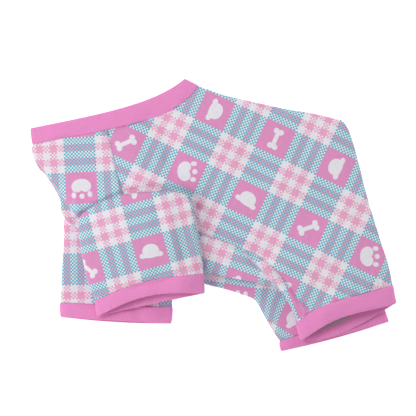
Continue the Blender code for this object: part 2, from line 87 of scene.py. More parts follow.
def tube_spots(tube, places, turns, inset=0.0):
    """Points of a flattened tube: turns run from the back fold over the top to the front fold."""
    at = row_number(tube.rows, places)
    row = through(np.array(tube.rows), at)
    lift = np.clip(row[:, 4], 0.0, 1.0)
    back = row[:, 0:2] * (LONG, WIDE)
    run = row[:, 2:4] * (LONG, WIDE) - back
    length = np.hypot(run[:, 0], run[:, 1])
    along = run / length[:, None]
    across = np.column_stack([-along[:, 1], along[:, 0]])
    share = 0.5 - 0.5 * np.cos(turns)
    tall = np.sin(turns)
    base = tube.rest(back + run * share[:, None], at, share, lift)
    deep = row[:, 5] * tube.depth
    if tube.settle:
        deep = deep - tube.settle * (np.interp(places, *tube.means) - lift * FAR_LEG_DEPTH)
    low = base + inset
    high = base + deep - inset
    middle = low + (high - low) * EDGE_SHARE
    under = middle + (middle - low) * np.maximum(tall * UNDER_FLATNESS, -1.0)
    height = np.where(tall >= 0, middle + (high - middle) * tall, under)
    weight = (height - low) / np.maximum(high - low, 1e-6)
    bow = (row[:, 7] + (row[:, 6] - row[:, 7]) * weight) * WIDE
    reach = inset + (length - 2 * inset) * share
    place = np.clip(reach / length, 0.0, 1.0)
    skewed = place * (1 - row[:, 8]) / (row[:, 8] + (1 - 2 * row[:, 8]) * place)
    spots = back + along * reach[:, None] + across * (bow * 4 * skewed * (1 - skewed))[:, None]
    return np.column_stack([spots, height])


def laid_flat(tube, places, turns):
    """Where each point of the tube lies once the cloth is rolled out flat round its two folds."""
    loops, sides = 60, 270
    marks = np.linspace(0.0, 1.0, loops + 1)
    swings = np.linspace(-math.pi, 2 * math.pi, sides + 1)
    grid_marks, grid_swings = (side.ravel() for side in np.meshgrid(marks, swings, indexing="ij"))
    points = tube_spots(tube, grid_marks, grid_swings).reshape(len(marks), len(swings), 3)
    steps = np.diff(points, axis=1)
    over_top = (swings[:-1] + swings[1:] > 0) & (swings[:-1] + swings[1:] < 2 * math.pi)
    spare = np.linalg.norm(steps, axis=2) - np.linalg.norm(steps[:, :, 0:2], axis=2) * over_top
    arcs = np.concatenate([np.zeros((len(marks), 1)), np.cumsum(spare, axis=1)], axis=1)
    top = int(round(1.5 * math.pi / (swings[1] - swings[0])))
    arcs -= arcs[:, top:top + 1]
    row = np.clip(places * loops, 0, loops - 0.001)
    column = np.clip((turns + math.pi) / (swings[1] - swings[0]), 0, sides - 0.001)
    i, j = row.astype(int), column.astype(int)
    f, g = row - i, column - j
    arc = (arcs[i, j] * (1 - f) * (1 - g) + arcs[i + 1, j] * f * (1 - g)
           + arcs[i, j + 1] * (1 - f) * g + arcs[i + 1, j + 1] * f * g)
    table = through(np.array(tube.rows), row_number(tube.rows, places))
    run = (table[:, 2:4] - table[:, 0:2]) * (LONG, WIDE)
    run /= np.linalg.norm(run, axis=1)[:, None]
    nearest = tube_spots(tube, places, np.clip(turns, 0.0, math.pi))[:, 0:2]
    return nearest + run * arc[:, None]


def smooth(share):
    """0 to 1 with a soft start and a soft end."""
    return share * share * (3 - 2 * share)


def away_from(start, end, spots):
    """The way to each spot from the nearest point of a straight stretch."""
    run = end - start
    share = np.clip((spots - start) @ run / (run @ run), 0.0, 1.0)
    return spots - start - share[:, None] * run


def fold_heights(folds, spots):
    """Sum of the rolls (up) and creases (down) at each plan spot. A fold's numbers are in mm."""
    total = np.zeros(len(spots))
    for fold in folds:
        path = np.array(fold.path) / 1000
        nearest = np.full(len(spots), 1.0)
        for start, end in zip(path, path[1:]):
            nearest = np.minimum(nearest, np.linalg.norm(away_from(start, end, spots), axis=1))
        total += fold.height / 1000 * np.exp(-(nearest / (fold.width / 1000)) ** 2)
    return total


def ripples(points, size, height, seed):
    """Gentle unevenness of cloth that has been handled, size and height in metres."""
    start = Vector((seed, seed, seed))
    return np.array([noise.noise(Vector(point / size) + start) for point in points]) * height


def print_spots(flat, turn, anchor, first):
    """Turns flat cloth into the frame of its print. anchor is the middle of the square number first."""
    angle = math.radians(turn)
    away = flat - np.array(anchor) / 1000
    u = away[:, 0] * math.cos(angle) + away[:, 1] * math.sin(angle)
    v = away[:, 1] * math.cos(angle) - away[:, 0] * math.sin(angle)
    return np.column_stack([u, v]) + np.array(first) * CHECK * REPEAT


def sewn_piece(name, patches, wall, materials):
    """One piece of cloth from grids that are bent into place. wall is 0 where the grid is closed."""
    mesh = bmesh.new()
    cut = mesh.loops.layers.uv.new("cut")
    flat_spots = {}
    for columns, lengths, shape in patches:
        grid = bmesh.ops.create_grid(mesh, x_segments=columns, y_segments=lengths, size=0.5)["verts"]
        shares = np.array([corner.co[:2] for corner in grid])
        shares = (shares - shares.min(axis=0)) / np.ptp(shares, axis=0)
        points, flat = shape(shares[:, 0], shares[:, 1])
        for corner, point, spot in zip(grid, points, flat):
            corner.co = point
            flat_spots[corner] = spot
        faces = list({face for corner in grid for face in corner.link_faces})
        mesh.normal_update()
        highest = max(faces, key=lambda face: face.calc_center_median().z)
        if highest.normal.z < 0:
            bmesh.ops.reverse_faces(mesh, faces=faces)
    for face in mesh.faces:
        face.smooth = True
        for loop in face.loops:
            loop[cut].uv = flat_spots[loop.vert]
    bmesh.ops.remove_doubles(mesh, verts=mesh.verts, dist=1e-5)
    data = bpy.data.meshes.new(name)
    mesh.to_mesh(data)
    mesh.free()
    piece = bpy.data.objects.new(name, data)
    bpy.context.collection.objects.link(piece)
    for material in materials:
        data.materials.append(material)
    if wall:
        solid = piece.modifiers.new("cloth thickness", 'SOLIDIFY')
        solid.thickness = wall
        solid.offset = -1.0
        solid.material_offset = len(materials) - 1
    return piece


def linear(hex_colour):
    """sRGB hex to the linear colour that a shader takes."""
    parts = [int(hex_colour[i:i + 2], 16) / 255 for i in (1, 3, 5)]
    return (*(p / 12.92 if p <= 0.04045 else ((p + 0.055) / 1.055) ** 2.4 for p in parts), 1.0)


def add(tree, kind, inputs=None, **settings):
    """Adds a node with its settings, and its inputs as values or as links from other nodes."""
    node = tree.nodes.new(kind)
    for key, value in settings.items():
        setattr(node, key, value)
    for socket, value in (inputs or {}).items():
        if isinstance(value, bpy.types.NodeSocket):
            tree.links.new(value, node.inputs[socket])
        else:
            node.inputs[socket].default_value = value
    return node


# Printed cotton jersey: fine single knit with pigment print, so flat and matt with a faint fuzz.
# The print is a check of small squares, 18 teal, then white and pink bars of 4, in both directions.
CHECK = 0.001934
REPEAT = 38
SOLID_CHECKS = 18
KNIT_WALE = 0.0011
TEAL = "#4bbdd0"
PAPER = "#f1eef5"
ROSE = "#f3accf"
SQUARE = "#e998ca"

# The sixteen motifs of the repeat: 0 bone, 1 paw, 2 head, and where their tops aim in the print
MOTIFS = ((0, 90), (2, 180), (0, 130), (2, 84), (1, 272), (0, 20), (1, 100), (2, 150),
          (0, 60), (2, 300), (0, 48), (1, 22), (2, 80), (0, 44), (1, 25), (2, 0))
# Each motif is a few discs: distance out to both sides, height, half width and half height in checks.
# The bone also has a shaft, by its half width and half height
BONE_SHAFT = (1.2, 4.8)
BONE_DISCS = ((1.4, 4.5, 1.7, 1.6), (1.4, -4.5, 1.7, 1.6))
PAW_DISCS = ((2.4, -0.9, 3.2, 3.3), (0.0, -2.1, 5.0, 3.1), (4.5, 3.9, 1.35, 1.7), (0.0, 4.7, 1.5, 1.5))
HEAD_DISCS = ((0.0, 0.6, 4.8, 3.9), (4.7, -1.8, 2.0, 1.5), (0.0, -1.9, 4.9, 1.5))


def printed_jersey():
    material = bpy.data.materials.new("printed_cotton_jersey")
    material.use_nodes = True
    tree = material.node_tree
    shader = tree.nodes["Principled BSDF"]
    cut = add(tree, "ShaderNodeUVMap", uv_map="cut").outputs["UV"]
    middle = SOLID_CHECKS / 2
    checks = add(tree, "ShaderNodeVectorMath", {0: cut, 1: (1 / CHECK,) * 3, 2: (middle, middle, 0)},
                 operation='MULTIPLY_ADD').outputs[0]
    shrunk = add(tree, "ShaderNodeVectorMath", {0: checks, 1: (1 / REPEAT,) * 3}, operation='MULTIPLY')
    repeat = add(tree, "ShaderNodeVectorMath", {0: shrunk.outputs[0]}, operation='FLOOR').outputs[0]
    start = add(tree, "ShaderNodeVectorMath", {0: repeat, 1: (REPEAT,) * 3}, operation='MULTIPLY')
    local = add(tree, "ShaderNodeVectorMath", {0: checks, 1: start.outputs[0]},
                operation='SUBTRACT').outputs[0]
    cell = add(tree, "ShaderNodeVectorMath", {0: local}, operation='FLOOR').outputs[0]
    cell_parts = add(tree, "ShaderNodeSeparateXYZ", {0: cell})
    stripes, solids = [], []
    for side in ("X", "Y"):
        along = cell_parts.outputs[side]
        ramp_place = add(tree, "ShaderNodeMath", {0: along, 1: 1 / REPEAT, 2: 0.5 / REPEAT},
                         operation='MULTIPLY_ADD')
        ramp = add(tree, "ShaderNodeValToRGB", {0: ramp_place.outputs[0]})
        ramp.color_ramp.interpolation = 'CONSTANT'
        ramp.color_ramp.elements[0].color = linear(TEAL)
        ramp.color_ramp.elements[1].position = SOLID_CHECKS / REPEAT
        ramp.color_ramp.elements[1].color = linear(PAPER)
        for bar, tint in enumerate((ROSE, PAPER, ROSE, PAPER), start=1):
            stop = ramp.color_ramp.elements.new((SOLID_CHECKS + 4 * bar) / REPEAT)
            stop.color = linear(tint)
        stripes.append(ramp.outputs["Color"])
        solids.append(add(tree, "ShaderNodeMath", {0: along, 1: SOLID_CHECKS - 0.5},
                          operation='LESS_THAN').outputs[0])
    both = add(tree, "ShaderNodeMath", {0: cell_parts.outputs["X"], 1: cell_parts.outputs["Y"]},
               operation='ADD')
    odd = add(tree, "ShaderNodeMath", {0: both.outputs[0], 1: 2.0}, operation='FLOORED_MODULO')
    check = add(tree, "ShaderNodeMix", {0: odd.outputs[0], 6: stripes[0], 7: stripes[1]}, data_type='RGBA')
    in_square = add(tree, "ShaderNodeMath", {0: solids[0], 1: solids[1]}, operation='MULTIPLY').outputs[0]

    number = add(tree, "ShaderNodeVectorMath", {0: repeat, 1: (1, 4, 0)},
                 operation='DOT_PRODUCT').outputs["Value"]
    motif = add(tree, "ShaderNodeMath", {0: number, 1: float(len(MOTIFS))},
                operation='FLOORED_MODULO').outputs[0]
    motif_place = add(tree, "ShaderNodeMath", {0: motif, 1: 1 / len(MOTIFS), 2: 0.5 / len(MOTIFS)},
                      operation='MULTIPLY_ADD').outputs[0]
    chooser = add(tree, "ShaderNodeValToRGB", {0: motif_place})
    chooser.color_ramp.interpolation = 'CONSTANT'
    for place, (kind, aim) in enumerate(MOTIFS):
        if place < 1:
            stop = chooser.color_ramp.elements[0]
        elif place < 2:
            stop = chooser.color_ramp.elements[1]
            stop.position = place / len(MOTIFS)
        else:
            stop = chooser.color_ramp.elements.new(place / len(MOTIFS))
        stop.color = (kind / 2, aim / 360, 0, 1)
    chosen = add(tree, "ShaderNodeSeparateColor", {0: chooser.outputs["Color"]})
    turn = add(tree, "ShaderNodeMath", {0: chosen.outputs["Green"], 1: -2 * math.pi, 2: math.pi / 2},
               operation='MULTIPLY_ADD')
    upright = add(tree, "ShaderNodeVectorRotate", {"Vector": local, "Center": (middle, middle, 0),
                                                   "Angle": turn.outputs[0]}, rotation_type='Z_AXIS')
    spot = add(tree, "ShaderNodeVectorMath", {0: upright.outputs[0], 1: (middle, middle, 0)},
               operation='SUBTRACT')
    parts = add(tree, "ShaderNodeSeparateXYZ", {0: spot.outputs[0]})
    out = add(tree, "ShaderNodeMath", {0: parts.outputs["X"]}, operation='ABSOLUTE').outputs[0]
    mirrored = add(tree, "ShaderNodeCombineXYZ", {0: out, 1: parts.outputs["Y"]}).outputs[0]
    shapes = []
    for discs in (BONE_DISCS, PAW_DISCS, HEAD_DISCS):
        nearest = None
        for aside, up, half_wide, half_tall in discs:
            size = (1 / half_wide, 1 / half_tall, 0)
            shift = (-aside / half_wide, -up / half_tall, 0)
            placed = add(tree, "ShaderNodeVectorMath", {0: mirrored, 1: size, 2: shift},
                         operation='MULTIPLY_ADD').outputs[0]
            away = add(tree, "ShaderNodeVectorMath", {0: placed}, operation='LENGTH').outputs["Value"]
            if nearest is None:
                nearest = away
            else:
                nearest = add(tree, "ShaderNodeMath", {0: nearest, 1: away}, operation='MINIMUM').outputs[0]
        shapes.append(nearest)
    shaft_x = add(tree, "ShaderNodeMath", {0: out, 1: 1 / BONE_SHAFT[0]}, operation='MULTIPLY').outputs[0]
    high = add(tree, "ShaderNodeMath", {0: parts.outputs["Y"]}, operation='ABSOLUTE').outputs[0]
    shaft_y = add(tree, "ShaderNodeMath", {0: high, 1: 1 / BONE_SHAFT[1]}, operation='MULTIPLY').outputs[0]
    shaft = add(tree, "ShaderNodeMath", {0: shaft_x, 1: shaft_y}, operation='MAXIMUM').outputs[0]
    bone = add(tree, "ShaderNodeMath", {0: shapes[0], 1: shaft}, operation='MINIMUM').outputs[0]
    outline = bone
    for least, shape in ((0.25, shapes[1]), (0.75, shapes[2])):
        later = add(tree, "ShaderNodeMath", {0: chosen.outputs["Red"], 1: least},
                    operation='GREATER_THAN').outputs[0]
        outline = add(tree, "ShaderNodeMix", {0: later, 2: outline, 3: shape}, data_type='FLOAT').outputs[0]
    inside = add(tree, "ShaderNodeMath", {0: outline, 1: 1.0}, operation='LESS_THAN').outputs[0]
    square = add(tree, "ShaderNodeMix", {0: inside, 6: linear(SQUARE), 7: linear(PAPER)}, data_type='RGBA')
    pattern = add(tree, "ShaderNodeMix", {0: in_square, 6: check.outputs[2], 7: square.outputs[2]},
                  data_type='RGBA').outputs[2]

    # Uneven dye take-up: the pigment is a little lighter and darker in patches of a few mm
    patches = add(tree, "ShaderNodeTexNoise", {"Vector": cut, "Scale": 220.0, "Detail": 3.0}).outputs["Fac"]
    shade = add(tree, "ShaderNodeMapRange", {0: patches, 1: 0.3, 2: 0.7, 3: 0.955, 4: 1.03}).outputs[0]
    colour = add(tree, "ShaderNodeVectorMath", {0: pattern, "Scale": shade}, operation='SCALE').outputs[0]
    tree.links.new(colour, shader.inputs["Base Color"])
    shader.inputs["Roughness"].default_value = 0.92
    shader.inputs["Sheen Weight"].default_value = 0.12
    shader.inputs["Sheen Roughness"].default_value = 0.6
    shader.inputs["Specular IOR Level"].default_value = 0.2
    # Wales and courses of the knit: columns 1.1 mm apart, coarser than the real 0.7 mm so that they show
    per_metre = 2 * math.pi / KNIT_WALE
    wales = add(tree, "ShaderNodeVectorMath", {0: cut, 1: (per_metre, per_metre, 0)},
                operation='MULTIPLY').outputs[0]
    waves = add(tree, "ShaderNodeVectorMath", {0: wales}, operation='SINE').outputs[0]
    wave_parts = add(tree, "ShaderNodeSeparateXYZ", {0: waves})
    knit = add(tree, "ShaderNodeMath", {0: wave_parts.outputs["X"], 1: wave_parts.outputs["Y"]},
               operation='ADD')
    fuzz = add(tree, "ShaderNodeTexNoise", {"Vector": cut, "Scale": 1400.0, "Detail": 2.0}).outputs["Fac"]
    relief = add(tree, "ShaderNodeMath", {0: fuzz, 1: 2.0, 2: knit.outputs[0]},
                 operation='MULTIPLY_ADD').outputs[0]
    bump = add(tree, "ShaderNodeBump", {"Strength": 0.25, "Distance": 0.00012, "Height": relief})
    tree.links.new(bump.outputs[0], shader.inputs["Normal"])
    return material


# Wrong side of the jersey: unprinted, so plain off-white loops with the print showing through faintly
def jersey_wrong_side(name, dark, light):
    material = bpy.data.materials.new(name)
    material.use_nodes = True
    tree = material.node_tree
    shader = tree.nodes["Principled BSDF"]
    cut = add(tree, "ShaderNodeUVMap", uv_map="cut").outputs["UV"]
    loops = add(tree, "ShaderNodeTexNoise", {"Vector": cut, "Scale": 900.0, "Detail": 3.0}).outputs["Fac"]
    tint = add(tree, "ShaderNodeMix", {0: loops, 6: linear(dark), 7: linear(light)}, data_type='RGBA')
    tree.links.new(tint.outputs[2], shader.inputs["Base Color"])
    shader.inputs["Roughness"].default_value = 0.95
    bump = add(tree, "ShaderNodeBump", {"Strength": 0.3, "Distance": 0.0002, "Height": loops})
    tree.links.new(bump.outputs[0], shader.inputs["Normal"])
    return material


PRINTED = printed_jersey()
WRONG_SIDE = jersey_wrong_side("jersey_wrong_side", "#cfc6d6", "#efe9f2")
WRONG_SIDE_STRIP = jersey_wrong_side("overlocked_seam_allowance", "#b793aa", "#e0ccd8")


def on_floor(chord, at, share, lift):
    return np.zeros(len(share))


far_sleeve_tube = Tube(FAR_SLEEVE_ROWS, FAR_SLEEVE_DEPTH, on_floor, 0.0, None)


def far_sleeve_shape(a, b):
    turns = -math.pi / 2 + 2 * math.pi * a
    points = tube_spots(far_sleeve_tube, b, turns)
    # Shut by its own fold at the shoulder
    closed = np.sqrt(np.clip(1 - (1 - np.clip(b / 0.12, 0, 1)) ** 2, 0, 1))
    middle = 0.003
    points[:, 2] = middle + (points[:, 2] - middle) * closed
    top = np.clip(np.sin(turns), 0, 1)
    points[:, 2] += ripples(points, 0.022, 0.0010, 3.1) * top * closed
    return points, print_spots(laid_flat(far_sleeve_tube, b, turns), 1.0, (-116.0, -59.6), (5, 0))


far_sleeve = sewn_piece("sleeve_far_cloth", [(96, 56, far_sleeve_shape)], JERSEY_WALL, [PRINTED, WRONG_SIDE])
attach(far_sleeve, "root")
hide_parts("sleeve_far")

# Far front cuff: a doubled strip of rib knit sewn round the end of the far sleeve. The fold of the
# strip is the hem; it stands a little proud of the jersey and lies flat on the floor.
BAND_WALL = 0.0024
BAND_PROUD = 0.0007
FAR_FRONT_CUFF_ROWS = (
    FAR_SLEEVE_ROWS[-1],
    Row(-0.112, -0.372, -0.418, -0.352, 0.00, 1.00, 0.000, 0.004, 0.50),
    Row(-0.115, -0.401, -0.416, -0.377, 0.00, 1.00, 0.000, 0.007, 0.50),
)
# Section of a folded band: place from seam to hem, and share through the wall from outside to inside
BAND_SECTION = np.array((
    (0.00, 0.62), (0.01, 0.34), (0.05, 0.08), (0.13, 0.0), (0.30, 0.0), (0.50, 0.0), (0.70, 0.0),
    (0.86, 0.0), (0.95, 0.07), (0.99, 0.28), (1.00, 0.50), (0.99, 0.75), (0.94, 0.95), (0.84, 1.0),
    (0.60, 1.0), (0.35, 1.0), (0.12, 1.0), (0.02, 0.90), (0.00, 0.62)))
RIB_PITCH = 0.0016


def rib_knit(name, light, dark):
    """Combed cotton rib: soft, matt, with fine vertical ribs, and painted shade that darkens the colour
    faintly in the grooves between them.
    """
    material = bpy.data.materials.new(name)
    material.use_nodes = True
    tree = material.node_tree
    shader = tree.nodes["Principled BSDF"]
    cut = add(tree, "ShaderNodeUVMap", uv_map="cut").outputs["UV"]
    around = add(tree, "ShaderNodeSeparateXYZ", {0: cut}).outputs["X"]
    phase = add(tree, "ShaderNodeMath", {0: around, 1: 2 * math.pi / RIB_PITCH},
                operation='MULTIPLY').outputs[0]
    ribs = add(tree, "ShaderNodeMath", {0: phase}, operation='SINE').outputs[0]
    fuzz = add(tree, "ShaderNodeTexNoise", {"Vector": cut, "Scale": 500.0, "Detail": 4.0}).outputs["Fac"]
    # Painted shade: the tint leans to the dark pink in the grooves between the ribs, on top of random fuzz
    # in tone
    groove_shade_and_fuzz = add(tree, "ShaderNodeMath", {0: ribs, 1: 0.10, 2: fuzz}, operation='MULTIPLY_ADD').outputs[0]
    place = add(tree, "ShaderNodeMapRange", {0: groove_shade_and_fuzz, 1: 0.25, 2: 0.75, 3: 0.0, 4: 1.0}).outputs[0]
    tint = add(tree, "ShaderNodeMix", {0: place, 6: linear(dark), 7: linear(light)}, data_type='RGBA')
    tree.links.new(tint.outputs[2], shader.inputs["Base Color"])
    shader.inputs["Roughness"].default_value = 0.88
    shader.inputs["Sheen Weight"].default_value = 0.15
    shader.inputs["Sheen Roughness"].default_value = 0.5
    shader.inputs["Specular IOR Level"].default_value = 0.2
    relief = add(tree, "ShaderNodeMath", {0: fuzz, 1: 0.8, 2: ribs}, operation='MULTIPLY_ADD').outputs[0]
    bump = add(tree, "ShaderNodeBump", {"Strength": 0.3, "Distance": 0.00016, "Height": relief})
    tree.links.new(bump.outputs[0], shader.inputs["Normal"])
    return material


RIB = rib_knit("rib_knit_pink", "#fa9cd6", "#ee8dca")


def band_shape(tube, deep, seed):
    """Shape of a folded band: deep is its width from seam to hem in metres."""
    def shape(a, b):
        turns = -math.pi / 2 + 2 * math.pi * a
        section = through(BAND_SECTION, b * (len(BAND_SECTION) - 1))
        place = np.clip(section[:, 0], 0.0, 1.0)
        share = np.clip(section[:, 1], 0.0, 1.0)
        points = tube_spots(tube, place, turns, BAND_WALL * share - BAND_PROUD)
        shift = np.clip(share * 2 - 1, 0, 1)
        outer_top = (1 - shift) * np.clip(np.sin(turns) * 1.5, 0, 1)
        puff = 0.0013 * np.sin(math.pi * np.clip(place, 0.0, 1.0)) ** 0.7 - 0.0007
        swell = ripples(points, 0.022, 0.0030, seed) + ripples(points, 0.008, 0.0006, seed)
        # Level with the jersey at the seam, so that no slit opens there
        points[:, 2] += (puff + swell) * outer_top * np.clip(place / 0.2, 0, 1)
        flat = laid_flat(tube, np.full(len(a), 0.5), turns)
        start = flat[0]
        around = np.linalg.norm(flat - start, axis=1)
        return points, np.column_stack([around, place * deep])
    return shape


def on_band_floor(chord, at, share, lift):
    return np.full(len(share), BAND_PROUD)


far_cuff_tube = Tube(FAR_FRONT_CUFF_ROWS, FAR_SLEEVE_DEPTH, on_band_floor, 0.0, None)
far_front_cuff = sewn_piece("front_cuff_far_rib", [(128, 36, band_shape(far_cuff_tube, 0.018, 5.0))],
                            0.0, [RIB])
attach(far_front_cuff, "root")
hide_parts("front_cuff_far")

# Body: two panels of the same printed jersey, back and belly, sewn together from the neck down the
# chest and the belly into both hind legs. Folded along the back and the belly, it lies on its side.
BODY_DEPTH = 0.026
FAR_LEG_DEPTH = 0.0135
LAYER_GAP = 0.0006
CLIMB_REACH = 0.042
CLIMB_SETTLE = 0.40
LEG_LIFT = FAR_LEG_DEPTH + BAND_PROUD * 3 + LAYER_GAP

TORSO_ROWS = (
    Row(-0.040, 0.473, -0.494, 0.258, 0.00, 0.54, 0.057, 0.057, 0.30),
    Row(-0.023, 0.465, -0.497, 0.234, 0.00, 0.60, 0.048, 0.048, 0.30),
    Row(0.026, 0.441, -0.481, 0.178, 0.00, 0.70, 0.026, 0.026, 0.32),
    Row(0.081, 0.423, -0.445, 0.119, 0.00, 0.79, 0.011, 0.011, 0.35),
    Row(0.141, 0.405, -0.418, 0.053, 0.00, 0.85, 0.000, 0.000, 0.50),
    Row(0.207, 0.386, -0.407, -0.009, 0.00, 0.88, 0.000, 0.000, 0.50),
    Row(0.273, 0.372, -0.330, -0.082, 0.00, 0.90, 0.000, 0.000, 0.50),
    Row(0.333, 0.353, -0.199, -0.174, 0.00, 0.92, 0.000, 0.000, 0.50),
    Row(0.358, 0.341, -0.144, -0.203, 0.00, 0.94, 0.000, 0.000, 0.50),
    Row(0.377, 0.299, -0.089, -0.227, 0.00, 0.96, 0.000, 0.000, 0.50),
    Row(0.399, 0.200, -0.026, -0.214, 0.20, 0.88, 0.000, 0.000, 0.50),
    Row(0.415, 0.108, 0.026, -0.225, 0.54, 0.74, 0.000, 0.000, 0.50),
    Row(0.432, 0.024, 0.075, -0.238, 0.85, 0.66, 0.000, 0.000, 0.50),
    Row(0.441, -0.016, 0.122, -0.249, 1.00, 0.66, 0.000, 0.000, 0.50),
    Row(0.451, -0.060, 0.166, -0.264, 1.00, 0.68, 0.000, 0.000, 0.50),
    Row(0.463, -0.112, 0.188, -0.282, 1.00, 0.70, 0.000, 0.000, 0.50),
    Row(0.477, -0.167, 0.207, -0.321, 1.00, 0.73, -0.004, 0.000, 0.62),
    Row(0.485, -0.211, 0.221, -0.361, 1.00, 0.76, -0.015, 0.000, 0.68),
    Row(0.492, -0.258, 0.228, -0.398, 1.00, 0.77, -0.027, 0.004, 0.73),
)
FAR_LEG_ROWS = (
    Row(0.344, 0.236, -0.130, -0.159, 0.16, 0.57, 0.000, 0.000, 0.50),
    Row(0.377, 0.170, -0.067, -0.222, 0.11, 0.71, 0.000, 0.000, 0.50),
    Row(0.401, 0.090, -0.021, -0.255, 0.04, 0.79, 0.000, 0.000, 0.50),
    Row(0.421, 0.009, 0.034, -0.274, 0.00, 0.89, 0.000, 0.000, 0.50),
    Row(0.434, -0.057, 0.084, -0.296, 0.00, 0.96, 0.000, 0.000, 0.50),
    Row(0.442, -0.108, 0.116, -0.314, 0.00, 1.00, 0.000, 0.000, 0.50),
    Row(0.448, -0.156, 0.136, -0.357, 0.00, 1.00, 0.000, 0.000, 0.50),
    Row(0.453, -0.222, 0.155, -0.405, 0.00, 1.00, 0.000, 0.000, 0.50),
    Row(0.462, -0.284, 0.173, -0.443, 0.00, 1.00, 0.000, 0.000, 0.50),
    Row(0.469, -0.337, 0.185, -0.464, 0.00, 1.00, 0.000, 0.000, 0.50),
)
SEAM_SPOTS = np.array((
    (-0.297, 0.419), (-0.286, 0.306), (-0.276, 0.240), (-0.262, 0.156), (-0.245, 0.082), (-0.226, 0.024),
    (-0.171, -0.005), (-0.100, -0.024), (-0.034, -0.070), (0.014, -0.090), (0.075, -0.121), (0.125, -0.150),
    (0.158, -0.183), (0.200, -0.248), (0.233, -0.309), (0.268, -0.356), (0.289, -0.478), (0.300, -0.588)))

# Creases and rolls of the upper layer, in mm on the plan. They are pressed in a third more strongly than
# listed, and along the seam the belly lies lower than the back
FOLD_STRENGTH = 1.35
BELLY_DROP = 0.0034
BODY_FOLDS = (
    Fold(((-58, 113), (-53, 95), (-48, 75), (-46, 58)), -2.4, 8.0),
    Fold(((-66, 84), (-47, 71)), -1.8, 14.0),
    Fold(((-15, -19), (28, -33)), -1.4, 8.0),
    Fold(((28, -34), (44, -40), (58, -48)), -1.8, 8.0),
    Fold(((-2, -36), (20, -43), (44, -54), (52, -62)), 1.6, 8.0),
    Fold(((46, -50), (50, -56)), -3.2, 5.0),
    Fold(((58, -62), (68, -73), (77, -86), (85, -101)), 2.2, 6.5),
    Fold(((116, -68), (125, -93)), -1.4, 6.0),
    Fold(((139, -63), (144, -88)), -1.2, 6.0),
    Fold(((96, -52), (108, -64), (120, -76)), 1.1, 8.0),
    Fold(((21, 106), (40, 74), (55, 40)), -1.1, 11.0),
    Fold(((-146, 62), (-136, 46), (-124, 29)), -1.2, 10.0),
    Fold(((96, 71), (116, 42), (129, 10)), -1.1, 13.0),
    Fold(((55, 27), (76, 6), (96, -17)), 0.9, 11.0),
    Fold(((-152, -8), (-141, 1), (-129, 9), (-115, 16.5), (-99, 23), (-85, 27), (-71, 29), (-60, 30),
          (-50, 30), (-39, 27), (-28, 23), (-19, 18), (-15, 7)), -4.2, 3.0),
    Fold(((-150, 22), (-148, 10), (-147, 0)), 1.6, 4.0),
    Fold(((-90, 96), (-88, 70), (-80, 48)), 0.9, 9.0),
)

# Left of this edge the lower layer of the chest shows past the upper one, further down and in its shade
CHEST_EDGE = np.array(((-197.8, 64.0), (-190.2, 54.5), (-182.6, 46.3), (-176.3, 36.3), (-169.4, 26.2),
                       (-164.9, 21.1), (-155.5, 7.1), (-146.7, -3.6), (-140.0, -14.0))) / 1000
CHEST_DROP = 0.0045
# The front of the near hind leg rolls over: left of this edge the belly lies lower, from ROLL_START on
ROLL_EDGE = np.array(((30.0, -36.0), (40.0, -45.5), (48.7, -55.3), (65.4, -71.5), (77.4, -87.8),
                      (93.4, -116.4), (99.0, -130.0))) / 1000
ROLL_DROP = 0.0038
ROLL_START = 0.035
EDGE_SLOPE = 0.0013


def under_edge(line, spots):
    """0 on the near side of a cloth edge, rising to 1 within about a millimetre past it."""
    return smooth(np.clip(beside(line, spots) / EDGE_SLOPE, 0.0, 1.0))


far_patch = np.array([(row.back_x, row.back_y) for row in FAR_SLEEVE_ROWS]
                     + [(row.front_x, row.front_y) for row in reversed(FAR_SLEEVE_ROWS)]) * (LONG, WIDE)


def distance_to_patch(spots, patch):
    """How far each plan spot lies outside a closed outline."""
    nearest = np.full(len(spots), 1.0)
    inside = np.zeros(len(spots), dtype=bool)
    for start, end in zip(patch, np.roll(patch, -1, axis=0)):
        run = end - start
        nearest = np.minimum(nearest, np.linalg.norm(away_from(start, end, spots), axis=1))
        spans = (start[1] > spots[:, 1]) != (end[1] > spots[:, 1])
        rise = end[1] - start[1] if end[1] != start[1] else 1e-9
        inside ^= spans & (spots[:, 0] < start[0] + run[0] * (spots[:, 1] - start[1]) / rise)
    return np.where(inside, 0.0, nearest)


def over_far_sleeve(chord, at, share, lift):
    """The body rests on the floor, climbs softly over the far sleeve and lies on the far hind leg."""
    near = np.clip(1 - distance_to_patch(chord, far_patch) / CLIMB_REACH, 0.0, 1.0)
    climb = (FAR_SLEEVE_DEPTH + LAYER_GAP) * smooth(near)
    return np.maximum(climb, lift * LEG_LIFT)


def mean_rest(rows):
    """Mean rest height of each loop, for how far the climbing body settles."""
    marks = np.linspace(0.0, 1.0, 61)
    shares = 0.5 - 0.5 * np.cos(np.linspace(0.0, math.pi, 25))
    grid_marks, grid_shares = (side.ravel() for side in np.meshgrid(marks, shares, indexing="ij"))
    at = row_number(rows, grid_marks)
    row = through(np.array(rows), at)
    back = row[:, 0:2] * (LONG, WIDE)
    chord = back + (row[:, 2:4] * (LONG, WIDE) - back) * grid_shares[:, None]
    heights = over_far_sleeve(chord, at, grid_shares, np.clip(row[:, 4], 0, 1))
    return marks, heights.reshape(len(marks), len(shares)).mean(axis=1)


torso_tube = Tube(TORSO_ROWS, BODY_DEPTH, over_far_sleeve, CLIMB_SETTLE, mean_rest(TORSO_ROWS))
far_leg_tube = Tube(FAR_LEG_ROWS, FAR_LEG_DEPTH, over_far_sleeve, 0.0, None)

seam_line = through(SEAM_SPOTS, np.linspace(0, len(SEAM_SPOTS) - 1, 103)) * (LONG, WIDE)


